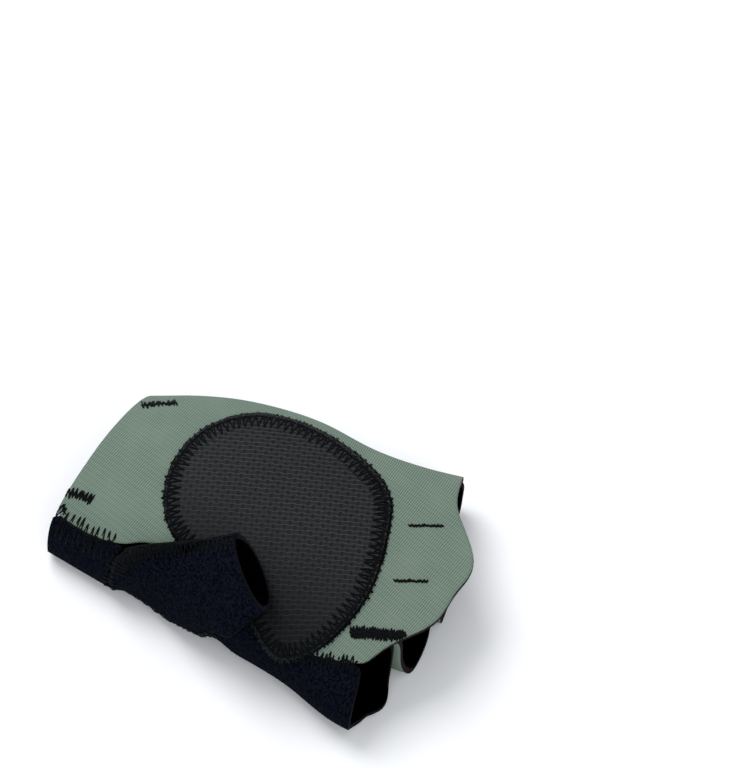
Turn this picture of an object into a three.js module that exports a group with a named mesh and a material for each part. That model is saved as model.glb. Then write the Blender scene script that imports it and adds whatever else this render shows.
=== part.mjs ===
// A right-hand fingerless sport glove of sewn neoprene, lying palm up on its back.
// Millimetres. +X runs from the wrist to the fingers, +Y from the thumb side to the little finger, +Z up.
// Every panel is cut from one skin. A place on it is [x, turn]: x is the distance from the wrist, and turn
// goes round the hand. 0 is the outermost line of the thumb side, 1 that of the little finger side, 0 to 1
// crosses the palm, below 0 rolls under the thumb side, and above 1 rolls under the little finger side.
import * as THREE from "three";

// Driving dimensions, in millimetres
const GLOVE_LENGTH = 148;
const PALM_WIDTH = 102;
const GLOVE_HEIGHT = 33;
const NEOPRENE = 2.2;
const SEAM_GAP = 0.4;
const THUMB_HOLE_GAP = 0.5;
const TACK_GAP = 0.5;
const PAD_THICKNESS = 1.1;
const PAD_GAP = 0.45;
const PATCH_THICKNESS = 1.2;
const PATCH_GAP = 0.35;
const SIDE_ROLL = 12;
const LOOP_STRIP_WIDTH = 15;
const LOOP_FLATTENING = 1.4;
const LOOP_SWAY = 2.5;
const INDEX_LOOP_WIDTH = 13;
const INDEX_LOOP_SLANT = 7;
const TONGUE_REACH = 34;
const THUMB_HOLE_LENGTH = 47;
const THUMB_TIP_WIDTH = 29;
const THUMB_FAR_LIP = 6.5;
const THUMB_NEAR_LIP = 4.5;
const THUMB_RISE = 7.5;
const THUMB_STRAIGHT_END = 9;
const STALL_BULGE = { near: 11, palm: 5.5, fingers: 4 };
const WRIST_EDGE = { floor: -1.5, seam: 0.8, little: 14 };

// The closure patches on the back: their sizes, their middles as shares of length and width, and their turns
const HOOK_PATCH = { length: 40, width: 30, along: 0.27, across: 0.33, degrees: 20 };
const LOOP_PATCH = { length: 37, width: 19, along: 0.33, across: 0.2, degrees: -76 };

// The palm's cross-section is a superellipse of this power, a little squarer than an ellipse
const SQUARENESS = 2.35;

// Cross-sections, from wrist to finger tips: along is a share of the glove's length, near and far are the
// thumb side's and the little finger side's outermost lines as shares of the palm's width, and crown, nearUp
// and farUp are the heights of the top and of those two lines as shares of the glove's height.
const SECTIONS = [
  { along: 0.0, near: -0.135, far: 0.47, crown: 0.84, nearUp: 0.17, farUp: 0.36 },
  { along: 0.1, near: -0.168, far: 0.51, crown: 0.9, nearUp: 0.18, farUp: 0.38 },
  { along: 0.21, near: -0.205, far: 0.565, crown: 0.96, nearUp: 0.2, farUp: 0.4 },
  { along: 0.35, near: -0.24, far: 0.6, crown: 1.0, nearUp: 0.21, farUp: 0.42 },
  { along: 0.51, near: -0.285, far: 0.6, crown: 1.0, nearUp: 0.22, farUp: 0.42 },
  { along: 0.65, near: -0.337, far: 0.56, crown: 0.98, nearUp: 0.25, farUp: 0.42 },
  { along: 0.79, near: -0.412, far: 0.547, crown: 0.94, nearUp: 0.28, farUp: 0.44 },
  { along: 0.92, near: -0.43, far: 0.563, crown: 0.9, nearUp: 0.3, farUp: 0.46 },
  { along: 1.04, near: -0.435, far: 0.57, crown: 0.88, nearUp: 0.3, farUp: 0.46 },
];

// The seam between the palm panel and the black side panel, as shares of length and width
const PALM_SEAM = [
  { along: 0.0, across: -0.062 },
  { along: 0.115, across: -0.105 },
  { along: 0.2, across: -0.115 },
  { along: 0.36, across: -0.115 },
  { along: 0.5, across: -0.16 },
  { along: 0.6, across: -0.25 },
  { along: 0.71, across: -0.28 },
  { along: 0.85, across: -0.262 },
  { along: 1.0, across: -0.25 },
];

// The scalloped finger edge of the palm panel, from the index finger to the little finger
const FINGER_EDGE = [
  { across: -0.27, along: 0.83 },
  { across: -0.165, along: 0.876 },
  { across: -0.06, along: 0.948 },
  { across: 0.07, along: 0.965 },
  { across: 0.16, along: 0.988 },
  { across: 0.21, along: 0.98 },
  { across: 0.296, along: 0.94 },
  { across: 0.38, along: 0.9 },
  { across: 0.55, along: 0.88 },
];

// The tacks between the fingers: across is a share of the palm's width. before and after are the places, as
// shares of the length, of the front edges of the loops that meet there, on the thumb's side and the other.
const TACKS = [
  { across: -0.15, before: 0.873, after: 0.888 },
  { across: 0.063, before: 0.92, after: 0.937 },
  { across: 0.27, before: 0.937, after: 0.915 },
];
const LITTLE_FINGER_FRONT = 0.885;

// The strap on the back of the wrist: its two edges from its root to the tongue, as shares of the glove's
// length, where across runs from the root, 0, to the start of the tongue's round end, 1
const STRAP_EDGES = [
  { across: 0.0, low: 0.0, high: 0.6 },
  { across: 0.35, low: 0.045, high: 0.49 },
  { across: 0.7, low: 0.105, high: 0.455 },
  { across: 1.0, low: 0.165, high: 0.425 },
];

// The grip pad's outline round its middle, as shares of the length and width, anticlockwise from the fingers
const PAD_OUTLINE = [
  { along: 0.778, across: 0.13 },
  { along: 0.747, across: 0.32 },
  { along: 0.695, across: 0.4 },
  { along: 0.62, across: 0.457 },
  { along: 0.495, across: 0.505 },
  { along: 0.36, across: 0.475 },
  { along: 0.265, across: 0.33 },
  { along: 0.245, across: 0.13 },
  { along: 0.305, across: -0.04 },
  { along: 0.42, across: -0.105 },
  { along: 0.53, across: -0.2 },
  { along: 0.63, across: -0.305 },
  { along: 0.71, across: -0.27 },
  { along: 0.775, across: -0.1 },
];

// The thumb stall's open end, folded over the palm: its middle as shares of length and width, the ways that
// its long and short axes point, and the way that the tube itself points there
const THUMB_TIP = { along: 0.53, across: -0.135 };
const THUMB_LONG_WAY = new THREE.Vector3(9, -9.9, -3);
const THUMB_SHORT_WAY = new THREE.Vector3(3, 3.7, -4);
const THUMB_AXIS = new THREE.Vector3(0.75, 0.3, 0.2).normalize();
// The way in which the whole stall leans as it leaves its hole, and how much it does so
const STALL_LEAN = new THREE.Vector3(0.62, 0.2, 0.62).normalize();
const STALL_LEAN_SHARE = 0.8;

const STALL_TWIST = 35;

// The thumb hole, a rounded rectangle on the skin under the near end of the palm seam. It starts at a share
// of the length, its floor edge runs between two turns, and its corners, at these angles round it, lie on the
// seam and beside the floor.
const THUMB_HOLE_START = 0.175;
const HOLE_FLOOR_TURN = { wrist: -0.5, fingers: 0.08 };
const HOLE_SQUARENESS = 5;
const HOLE_CORNERS = { palmFingers: 50, palmWrist: 130, floorWrist: 230, floorFingers: 310 };

// The wrist wrap, which goes on from the palm panel round the little finger side: where its front edge leaves
// the palm, and where its end lies under the hand, as shares of length and width
const WRAP_START = 0.515;
const WRAP_END = { across: 0.13, low: 0.2, high: 0.4 };

// Turns between which the wrist edge slants, and turns of the side panel's edge beside the floor
const WRIST_SLANT = { from: 0.1, to: 0.95 };
const FREE_EDGE_TURN = -0.88;
const NECK_DROP = 0.1;

// The finger loops' U is a superellipse of this power. The index loop's runs flat for a share of its way. The
// front edges reach forward within the first part of the loop, the more so the higher the last power.
const LOOP_SQUARENESS = 3.6;
const INDEX_LOOP_SQUARENESS = 2.1;
const INDEX_LOOP_FLAT = 0.3;
const LOOP_FRONT_POWER = 5;

// The grip pad's middle, and where the finger edge is measured across the palm, as shares
const PAD_MIDDLE = { along: 0.52, across: 0.13 };
const FINGER_EDGE_REFERENCE = 0.93;

// Rows of facets that neighbouring panels share
const SEAM_ROWS = 12;
const WRIST_ROWS = 6;
const HOLE_ROWS = 10;

// The cloths' colours and finishes
const SAGE_NEOPRENE = { color: 0x7d8f80, roughness: 0.85 };
const BLACK_NEOPRENE = { color: 0x0d0e14, roughness: 0.9 };
const GRIP_CLOTH = { color: 0x323231, roughness: 0.6 };
const FASTENING_TAPE = { color: 0x1a1a1c, roughness: 0.7 };

// The strap, the two closure patches and the wrap lie on each other under the hand
const LOOP_PATCH_LEVEL = NEOPRENE + PATCH_GAP;
const HOOK_PATCH_LEVEL = LOOP_PATCH_LEVEL + PATCH_THICKNESS + PATCH_GAP;
const WRAP_LEVEL = HOOK_PATCH_LEVEL + PATCH_THICKNESS + PATCH_GAP;

// Degrees of a full turn
const FULL_TURN = 360;

const lerp = THREE.MathUtils.lerp;

/** A smooth curve through one column of a table, against another column. */
function curveOf(rows, key, value) {
  const curve = new THREE.CubicInterpolant(
    rows.map((row) => row[key]),
    rows.map((row) => row[value]),
    1,
    new Float64Array(1),
  );
  return (place) => curve.evaluate(place)[0];
}

const nearShare = curveOf(SECTIONS, "along", "near");
const farShare = curveOf(SECTIONS, "along", "far");
const crownShare = curveOf(SECTIONS, "along", "crown");
const nearUpShare = curveOf(SECTIONS, "along", "nearUp");
const farUpShare = curveOf(SECTIONS, "along", "farUp");
const seamShare = curveOf(PALM_SEAM, "along", "across");
const fingerEdgeShare = curveOf(FINGER_EDGE, "across", "along");

/** The sizes of the cross-section at x. */
function sectionAt(x) {
  const along = x / GLOVE_LENGTH;
  return {
    near: PALM_WIDTH * nearShare(along),
    far: PALM_WIDTH * farShare(along),
    crown: GLOVE_HEIGHT * crownShare(along),
    nearUp: GLOVE_HEIGHT * nearUpShare(along),
    farUp: GLOVE_HEIGHT * farUpShare(along),
  };
}

/** The skin's outer surface at [x, turn]. level is the height of its flat underside. */
function skin([x, turn], level = 0) {
  const { near, far, crown, nearUp, farUp } = sectionAt(x);
  if (turn >= 0 && turn <= 1) {
    const cosine = Math.cos(Math.PI * turn);
    const sine = Math.sin(Math.PI * turn);
    const across = Math.sign(cosine) * Math.abs(cosine) ** (2 / SQUARENESS);
    const up = Math.max(sine, 0) ** (2 / SQUARENESS);
    const y = (near + far) / 2 - ((far - near) / 2) * across;
    const foot = lerp(nearUp, farUp, (1 - across) / 2);
    return new THREE.Vector3(x, y, lerp(foot, crown, up));
  }
  const beyond = turn < 0 ? -turn : turn - 1;
  const inward = turn < 0 ? 1 : -1;
  const angle = (Math.min(beyond, 1) * Math.PI) / 2;
  const reach = beyond <= 1 ? 1 - Math.cos(angle) : beyond;
  const y = (turn < 0 ? near : far) + inward * SIDE_ROLL * reach;
  return new THREE.Vector3(x, y, lerp(turn < 0 ? nearUp : farUp, level, Math.sin(angle)));
}

/** The turn of the place on the palm that lies at y. */
function turnAcross(x, y) {
  const { near, far } = sectionAt(x);
  const share = THREE.MathUtils.clamp(((near + far) / 2 - y) / ((far - near) / 2), -1, 1);
  return Math.acos(Math.sign(share) * Math.abs(share) ** (SQUARENESS / 2)) / Math.PI;
}

/** The turn of the place on the flat of the back that lies at y, rolled under the little finger side. */
function turnUnderFar(x, y) {
  return 1 + (sectionAt(x).far - y) / SIDE_ROLL;
}

/** The outward normal of the skin at a place. */
function skinNormal([x, turn], level = 0) {
  const step = 1e-3;
  const alongX = skin([x + step, turn], level).sub(skin([x - step, turn], level));
  const alongTurn = skin([x, turn + step], level).sub(skin([x, turn - step], level));
  return alongX.cross(alongTurn).normalize();
}

/** A point of the skin that keeps the direction it faces, so that the panels' cut edges stay parallel. */
function onSkin(place, level = 0) {
  const point = skin(place, level);
  point.facing = skinNormal(place, level);
  return point;
}

/** count + 1 places from a to b, both included. */
function line(a, b, count) {
  return Array.from({ length: count + 1 }, (_, i) => a.map((value, k) => lerp(value, b[k], i / count)));
}

/** count + 1 values of a function of a share, from share 0 to 1. */
function steps(count, make) {
  return Array.from({ length: count + 1 }, (_, i) => make(i / count));
}

/** A grid of places between four borders: low and high run one way, start and end the other. */
function coonsPatch(low, high, start, end) {
  const rows = low.length - 1;
  const columns = start.length - 1;
  return steps(rows, (u) => u).map((u, i) =>
    steps(columns, (v) => v).map((v, j) =>
      low[i].map((_, k) => {
        const ruled = lerp(low[i][k], high[i][k], v) + lerp(start[j][k], end[j][k], u);
        const corners = lerp(lerp(start[0][k], start[columns][k], v), lerp(end[0][k], end[columns][k], v), u);
        return ruled - corners;
      }),
    ),
  );
}

/** Turns grids of points into one closed sheet: outer faces at lift, inner faces a thickness below. */
function sheetGeometry(grids, thickness, lift = 0) {
  const points = [];
  const found = new Map();
  const triangles = [];
  const indexOf = (point) => {
    const key = point.toArray().map((value) => Math.round(value * 500)).join();
    if (!found.has(key)) {
      found.set(key, points.length);
      points.push(point);
    }
    return found.get(key);
  };
  for (const grid of grids) {
    const index = grid.map((row) => row.map(indexOf));
    for (let i = 0; i + 1 < grid.length; i++) {
      for (let j = 0; j + 1 < grid[i].length; j++) {
        const [a, b, c, d] = [index[i][j], index[i + 1][j], index[i + 1][j + 1], index[i][j + 1]];
        for (const triangle of [[a, b, c], [a, c, d]]) {
          if (new Set(triangle).size === 3) triangles.push(triangle);
        }
      }
    }
  }
  const normals = points.map(() => new THREE.Vector3());
  for (const [a, b, c] of triangles) {
    const edge = points[b].clone().sub(points[a]);
    const face = edge.cross(points[c].clone().sub(points[a]));
    [a, b, c].forEach((corner) => normals[corner].add(face));
  }
  normals.forEach((normal, i) => (points[i].facing ? normal.copy(points[i].facing) : normal.normalize()));
  const outer = points.map((point, i) => point.clone().addScaledVector(normals[i], lift));
  const inner = points.map((point, i) => point.clone().addScaledVector(normals[i], lift - thickness));
  const count = points.length;
  const faces = triangles.flatMap(([a, b, c]) => [a, b, c, a + count, c + count, b + count]);
  const edges = new Set(triangles.flatMap(([a, b, c]) => [`${a},${b}`, `${b},${c}`, `${c},${a}`]));
  for (const edge of edges) {
    const [a, b] = edge.split(",").map(Number);
    if (!edges.has(`${b},${a}`)) faces.push(b, a, a + count, b, a + count, b + count);
  }
  return new THREE.BufferGeometry().setFromPoints([...outer, ...inner]).setIndex(faces);
}

/** A named piece of one cloth. */
function mesh(name, geometry, cloth) {
  const made = new THREE.Mesh(geometry, new THREE.MeshStandardMaterial({ ...cloth, metalness: 0 }));
  made.name = name;
  return made;
}

const cornerAngle = THREE.MathUtils.degToRad(HOLE_CORNERS.palmFingers);
const cornerHeight = rimReach(cornerAngle) * Math.sin(cornerAngle);
const holeMiddle = THUMB_HOLE_START * GLOVE_LENGTH + THUMB_HOLE_LENGTH / 2;

/** A place on the palm seam, moved by gap across the palm. */
function seamPlace(x, gap = 0) {
  return [x, turnAcross(x, PALM_WIDTH * seamShare(x / GLOVE_LENGTH) + gap)];
}

/** How far a superellipse of size 1 reaches at an angle. */
function rimReach(angle) {
  const sum = Math.abs(Math.cos(angle)) ** HOLE_SQUARENESS + Math.abs(Math.sin(angle)) ** HOLE_SQUARENESS;
  return sum ** (-1 / HOLE_SQUARENESS);
}

/** A place on the thumb hole's rim: angle 0 faces the fingers, 90 the palm, 180 the wrist, 270 the floor. */
function holePlace(degrees, grow) {
  const angle = THREE.MathUtils.degToRad(degrees);
  const halfLength = THUMB_HOLE_LENGTH / 2;
  const outward = [halfLength * rimReach(angle) * Math.cos(angle)];
  const x = holeMiddle + outward[0];
  const top = seamPlace(x)[1];
  const share = THREE.MathUtils.smoothstep(outward[0], -halfLength, halfLength);
  const bottom = lerp(HOLE_FLOOR_TURN.wrist, HOLE_FLOOR_TURN.fingers, share);
  outward[1] = ((top - bottom) / 2 / cornerHeight) * rimReach(angle) * Math.sin(angle);
  const place = [x, (top + bottom) / 2 + outward[1]];

  // The rim grows by the same length all round, measured on the skin
  const step = 1e-3;
  const stepped = place.map((value, k) => value + outward[k] * step);
  const reach = skin(stepped).distanceTo(skin(place)) / step;
  return place.map((value, k) => value + (outward[k] * grow) / reach);
}

/** A corner of the thumb hole in the panels round it. */
function holeCorner(degrees) {
  return holePlace(degrees, THUMB_HOLE_GAP);
}

/** Places along the thumb hole's rim in the panels round it, between two angles. */
function holeRim(from, to, count) {
  return steps(count, (share) => holeCorner(lerp(from, to, share)));
}

/** The wrist edge crosses the palm at a slant. */
function wristEdge(turn) {
  const share = THREE.MathUtils.smoothstep(turn, WRIST_SLANT.from, WRIST_SLANT.to);
  return [lerp(WRIST_EDGE.seam, WRIST_EDGE.little, share), turn];
}

/** The finger edge at a share of the way across the palm. */
function fingerEdge(startTurn, share) {
  const turn = lerp(startTurn, 1, share);
  const reference = skin([GLOVE_LENGTH * FINGER_EDGE_REFERENCE, turn]);
  return [GLOVE_LENGTH * fingerEdgeShare(reference.y / PALM_WIDTH), turn];
}

/** A grid of places as points of the skin. */
function skinGrid(places, level = 0) {
  return places.map((row) => row.map((place) => onSkin(place, level)));
}

/** The palm panel, with the wrist wrap that goes on from it round the little finger side. */
function palmPanel() {
  const gap = SEAM_GAP / 2;
  const wristSeam = seamPlace(WRIST_EDGE.seam, gap);
  const holeWrist = holeCorner(HOLE_CORNERS.palmWrist);
  const holeFingers = holeCorner(HOLE_CORNERS.palmFingers);
  const seamEnd = GLOVE_LENGTH * FINGER_EDGE[0].along;
  const onSeam = (from, to, count) => steps(count, (share) => seamPlace(lerp(from, to, share), gap));
  const near = [
    ...onSeam(wristSeam[0], holeWrist[0], WRIST_ROWS).slice(0, -1),
    ...holeRim(HOLE_CORNERS.palmWrist, HOLE_CORNERS.palmFingers, HOLE_ROWS).slice(0, -1),
    ...onSeam(holeFingers[0], seamEnd, SEAM_ROWS),
  ];
  const rows = near.length - 1;
  const wrapRows = rows / 2;
  const columns = 20;
  const wrapStart = [GLOVE_LENGTH * WRAP_START, 1];
  const finger = steps(columns, (share) => fingerEdge(near[rows][1], share));
  const wrist = steps(columns, (share) => wristEdge(lerp(near[0][1], 1, share)));
  near[0] = wrist[0];
  near[rows] = finger[0];
  const far = [
    ...line(wrist[columns], wrapStart, wrapRows).slice(0, -1),
    ...line(wrapStart, finger[columns], rows - wrapRows),
  ];

  // The wrap lies under the hand, above the strap's tongue
  const fold = far.slice(0, wrapRows + 1);
  const wrapEnd = steps(wrapRows, (share) => {
    const x = GLOVE_LENGTH * lerp(WRAP_END.low, WRAP_END.high, share);
    return [x, turnUnderFar(x, PALM_WIDTH * WRAP_END.across)];
  });
  const wrapColumns = 12;
  const low = line(fold[0], wrapEnd[0], wrapColumns);
  const high = line(fold[wrapRows], wrapEnd[wrapRows], wrapColumns);
  const palm = skinGrid(coonsPatch(near, far, wrist, finger));
  const wrap = skinGrid(coonsPatch(fold, wrapEnd, low, high), WRAP_LEVEL);
  return mesh("palm_panel", sheetGeometry([palm, wrap], NEOPRENE), SAGE_NEOPRENE);
}

/** The black side panel, with the wrist strap under the hand and the index finger's loop. */
function sidePanel() {
  const gap = -SEAM_GAP / 2;

  // Beside the wrist, from the floor up to the palm seam
  const wristColumns = 8;
  const wristStart = [WRIST_EDGE.floor, HOLE_FLOOR_TURN.wrist];
  const wristUp = line(wristStart, seamPlace(WRIST_EDGE.seam, gap), wristColumns);
  const holeWristX = holeCorner(HOLE_CORNERS.palmWrist)[0];
  const lowerBorder = line(wristStart, holeCorner(HOLE_CORNERS.floorWrist), WRIST_ROWS);
  const upperBorder = steps(WRIST_ROWS, (share) => seamPlace(lerp(WRIST_EDGE.seam, holeWristX, share), gap));
  const wristHole = holeRim(HOLE_CORNERS.floorWrist, HOLE_CORNERS.palmWrist, wristColumns);
  wristHole[wristColumns] = upperBorder[WRIST_ROWS];
  const wristSide = coonsPatch(lowerBorder, upperBorder, wristUp, wristHole);

  // Beside the palm, from the hole to the index finger
  const loopFront = GLOVE_LENGTH * TACKS[0].before - INDEX_LOOP_SLANT;
  const neckEnd = [GLOVE_LENGTH * STRAP_EDGES[0].high, HOLE_FLOOR_TURN.wrist - NECK_DROP];
  const loopRear = [loopFront - INDEX_LOOP_WIDTH, FREE_EDGE_TURN];
  const sideColumns = 9;
  const neckRows = 4;
  const loopRows = 3;
  const holeSide = holeRim(HOLE_CORNERS.floorFingers, FULL_TURN + HOLE_CORNERS.palmFingers, sideColumns);
  const floorBorder = [
    ...line(holeSide[0], neckEnd, neckRows).slice(0, -1),
    ...line(neckEnd, loopRear, SEAM_ROWS - neckRows - loopRows).slice(0, -1),
    ...line(loopRear, [loopFront, FREE_EDGE_TURN], loopRows),
  ];
  const fingersX = GLOVE_LENGTH * FINGER_EDGE[0].along;
  const palmStart = holeSide[sideColumns][0];
  const palmBorder = steps(SEAM_ROWS, (share) => seamPlace(lerp(palmStart, fingersX, share), gap));
  holeSide[sideColumns] = palmBorder[0];
  const fingerBorder = line(floorBorder[SEAM_ROWS], palmBorder[SEAM_ROWS], sideColumns);
  const side = coonsPatch(floorBorder, palmBorder, holeSide, fingerBorder);

  // The strap across the back of the wrist, from the hole to the end of the tongue
  const root = [
    ...lowerBorder.slice(0, -1),
    ...holeRim(HOLE_CORNERS.floorWrist, HOLE_CORNERS.floorFingers, HOLE_ROWS).slice(0, -1),
    ...floorBorder.slice(0, neckRows + 1),
  ];

  // The index finger's loop, from the side across the floor and up to the first tack
  const tackY = PALM_WIDTH * TACKS[0].across - SEAM_GAP / 2;
  const loop = floorBorder.slice(-loopRows - 1).map((place) => {
    const from = skin(place);
    return steps(SEAM_ROWS, (share) => indexLoopPoint(from, tackY, share));
  });
  const flipped = [strapGrid(root), loop].map((grid) => grid.reverse());
  const grids = [skinGrid(wristSide), skinGrid(side), ...flipped];
  return mesh("side_strap_panel", sheetGeometry(grids, NEOPRENE), BLACK_NEOPRENE);
}

/** How far forward a loop's front edge has come at a share of the way round the finger. */
function frontShare(share) {
  return 1 - (1 - share) ** LOOP_FRONT_POWER;
}

/** A point of the index loop's run, from the side panel over the floor and up to the palm at wallY. */
function indexLoopPoint(from, wallY, share) {
  const foot = (from.y + wallY) / 2;
  const x = from.x + INDEX_LOOP_SLANT * frontShare(share);
  if (share < INDEX_LOOP_FLAT) {
    const run = share / INDEX_LOOP_FLAT;
    return new THREE.Vector3(x, lerp(from.y, foot, run), from.z * (1 - run) ** 2);
  }
  const climb = ((share - INDEX_LOOP_FLAT) / (1 - INDEX_LOOP_FLAT)) * (Math.PI / 2);
  const power = 2 / INDEX_LOOP_SQUARENESS;
  const across = Math.sin(climb) ** power;
  const up = 1 - Math.cos(climb) ** power;
  return new THREE.Vector3(x, lerp(foot, wallY, across), up * wallTop(x, wallY, wallY - NEOPRENE));
}

/** The height just under the palm panel at x and y. */
function innerPalmHeight(x, y) {
  const place = [x, turnAcross(x, y)];
  return skin(place).z - (NEOPRENE + TACK_GAP) / skinNormal(place).z;
}

/** The height of a loop's wall between two places across the palm, just under the palm panel. */
function wallTop(x, outerY, innerY) {
  return Math.min(innerPalmHeight(x, outerY), innerPalmHeight(x, innerY));
}

/** The strap's grid of points, from its root under the thumb side to the tongue's round end. */
function strapGrid(root) {
  const low = curveOf(STRAP_EDGES, "across", "low");
  const high = curveOf(STRAP_EDGES, "across", "high");
  const tongue = STRAP_EDGES[STRAP_EDGES.length - 1];
  const tongueX = (GLOVE_LENGTH * (tongue.low + tongue.high)) / 2;
  const halfWidth = (GLOVE_LENGTH * (tongue.high - tongue.low)) / 2;
  const first = root[0][0];
  const last = root[root.length - 1][0];
  const flatShares = steps(9, (share) => share).slice(1);
  const roundAngles = steps(6, (share) => (share * Math.PI) / 2).slice(1, -1);
  const rollShares = [0.4, 0.8];
  return root.map(([x, turn]) => {
    const share = (x - first) / (last - first);
    const roll = rollShares.map((part) => onSkin([x, lerp(turn, -1, part)]));
    const rootY = skin([x, -1]).y;
    const flat = flatShares.map((across) => {
      const y = lerp(rootY, TONGUE_REACH, across);
      return new THREE.Vector3(GLOVE_LENGTH * lerp(low(across), high(across), share), y, 0);
    });
    const round = roundAngles.map((angle) => {
      const y = TONGUE_REACH + halfWidth * Math.sin(angle);
      return new THREE.Vector3(tongueX + halfWidth * Math.cos(angle) * (2 * share - 1), y, 0);
    });
    return [onSkin([x, turn]), ...roll, ...flat, ...round];
  });
}

/** A loop of the strip round one finger: a U from one tack down to the floor and up to the next. */
function fingerLoop(name, start, end) {
  const columns = 18;
  const rows = 3;
  const grid = steps(rows, (depth) =>
    steps(columns, (share) => {
      const angle = share * Math.PI;
      const power = 2 / LOOP_SQUARENESS;
      const across = Math.sign(Math.cos(angle)) * Math.abs(Math.cos(angle)) ** power;
      const down = Math.max(Math.sin(angle), 0) ** power;
      const y = lerp(start.y, end.y, (1 - across) / 2) - LOOP_SWAY * down ** 2;
      const x = lerp(start.front, end.front, frontShare((1 - across) / 2)) - LOOP_STRIP_WIDTH * depth;
      const top = share < 0.5 ? start.top(x) : end.top(x);
      const z = Math.max(top - (top + LOOP_FLATTENING) * down, 0);
      return new THREE.Vector3(x, y, z);
    }),
  );
  return mesh(name, sheetGeometry([grid], NEOPRENE), SAGE_NEOPRENE);
}

/** The loops of the middle, ring and little fingers, which stand back to back at the tacks. */
function fingerLoops() {
  const tack = (index, side) => {
    const y = PALM_WIDTH * TACKS[index].across + (side * SEAM_GAP) / 2;
    const front = GLOVE_LENGTH * (side > 0 ? TACKS[index].after : TACKS[index].before);
    return { y, front, top: (x) => wallTop(x, y, y + side * NEOPRENE) };
  };
  const farX = GLOVE_LENGTH * LITTLE_FINGER_FRONT;
  const farSide = { y: sectionAt(farX).far, front: farX, top: (x) => sectionAt(x).farUp - SEAM_GAP };
  return [
    fingerLoop("finger_loop_middle", tack(0, 1), tack(1, -1)),
    fingerLoop("finger_loop_ring", tack(1, 1), tack(2, -1)),
    fingerLoop("finger_loop_little", tack(2, 1), farSide),
  ];
}

/** The grip pad, sewn flat on the palm. */
function gripPad() {
  const outline = new THREE.CatmullRomCurve3(
    PAD_OUTLINE.map(({ along, across }) => new THREE.Vector3(GLOVE_LENGTH * along, PALM_WIDTH * across, 0)),
    true,
  );
  const middle = new THREE.Vector3(GLOVE_LENGTH * PAD_MIDDLE.along, PALM_WIDTH * PAD_MIDDLE.across, 0);
  const rim = outline.getSpacedPoints(44).slice(0, -1);
  const rings = steps(8, (share) => Math.sqrt(share));
  const grid = rings.map((share) =>
    [...rim, rim[0]].map((point) => {
      const place = middle.clone().lerp(point, share);
      return onSkin([place.x, turnAcross(place.x, place.y)]);
    }),
  );
  return mesh("grip_pad", sheetGeometry([grid], PAD_THICKNESS, PAD_GAP + PAD_THICKNESS), GRIP_CLOTH);
}

/** The stall: a tube sewn round the thumb hole, folded over the palm, with a raw-cut open end. */
function thumbStall() {
  const rings = 14;
  const around = 36;
  const tip = new THREE.Vector3(
    GLOVE_LENGTH * THUMB_TIP.along,
    PALM_WIDTH * THUMB_TIP.across,
    GLOVE_HEIGHT + THUMB_RISE,
  );
  const long = THUMB_LONG_WAY.clone().setLength(THUMB_TIP_WIDTH / 2);
  const short = THUMB_SHORT_WAY.clone().setLength(1);
  const grid = steps(rings, (share) =>
    steps(around, (round) => {
      const degrees = -round * FULL_TURN;
      const base = onSkin(holePlace(degrees, -THUMB_HOLE_GAP));
      const angle = THREE.MathUtils.degToRad(degrees);
      const sideways = lerp(STALL_BULGE.near, STALL_BULGE.palm, (1 + Math.sin(angle)) / 2);
      const reach = lerp(sideways, STALL_BULGE.fingers, Math.max(Math.cos(angle), 0));
      const leaves = base.facing.clone();
      leaves.z = Math.max(leaves.z, 0);
      leaves.addScaledVector(STALL_LEAN, STALL_LEAN_SHARE).normalize();
      const turned = angle + THREE.MathUtils.degToRad(STALL_TWIST);
      const depth = Math.sin(turned) > 0 ? THUMB_FAR_LIP : THUMB_NEAR_LIP;
      const end = tip.clone().addScaledVector(long, Math.cos(turned));
      end.addScaledVector(short, depth * Math.sin(turned));
      const first = base.clone().addScaledVector(leaves, reach);
      const second = end.clone().addScaledVector(THUMB_AXIS, -THUMB_STRAIGHT_END);
      const point = new THREE.CubicBezierCurve3(base, first, second, end).getPoint(share);
      if (share === 0) point.facing = base.facing;
      return point;
    }),
  );
  return mesh("thumb_stall", sheetGeometry([grid], NEOPRENE), BLACK_NEOPRENE);
}

/** A flat closure patch on the back, with its underside at a level. */
function closurePatch(name, patch, level) {
  const shape = new THREE.Shape()
    .moveTo(-patch.length / 2, -patch.width / 2)
    .lineTo(patch.length / 2, -patch.width / 2)
    .lineTo(patch.length / 2, patch.width / 2)
    .lineTo(-patch.length / 2, patch.width / 2);
  const geometry = new THREE.ExtrudeGeometry(shape, { depth: PATCH_THICKNESS, bevelEnabled: false });
  const made = mesh(name, geometry, FASTENING_TAPE);
  made.position.set(GLOVE_LENGTH * patch.along, PALM_WIDTH * patch.across, level);
  made.rotation.z = THREE.MathUtils.degToRad(patch.degrees);
  return made;
}

const glove = new THREE.Group();
glove.add(palmPanel(), sidePanel(), ...fingerLoops(), gripPad(), thumbStall());
glove.add(closurePatch("loop_patch", LOOP_PATCH, LOOP_PATCH_LEVEL));
glove.add(closurePatch("hook_patch", HOOK_PATCH, HOOK_PATCH_LEVEL));

// The origin is the middle of the glove's footprint, on the surface that it lies on
const box = new THREE.Box3().setFromObject(glove);
const middle = box.getCenter(new THREE.Vector3());
for (const piece of glove.children) piece.position.add(new THREE.Vector3(-middle.x, -middle.y, -box.min.z));

export default glove;
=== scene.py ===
"""A right-hand fingerless sport glove of sewn neoprene, lying palm up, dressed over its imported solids."""

import logging
import math
import random
from dataclasses import KW_ONLY, dataclass, field
from enum import Enum

import bmesh
import bpy
from mathutils import Matrix, Vector, noise
from mathutils.bvhtree import BVHTree


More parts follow.
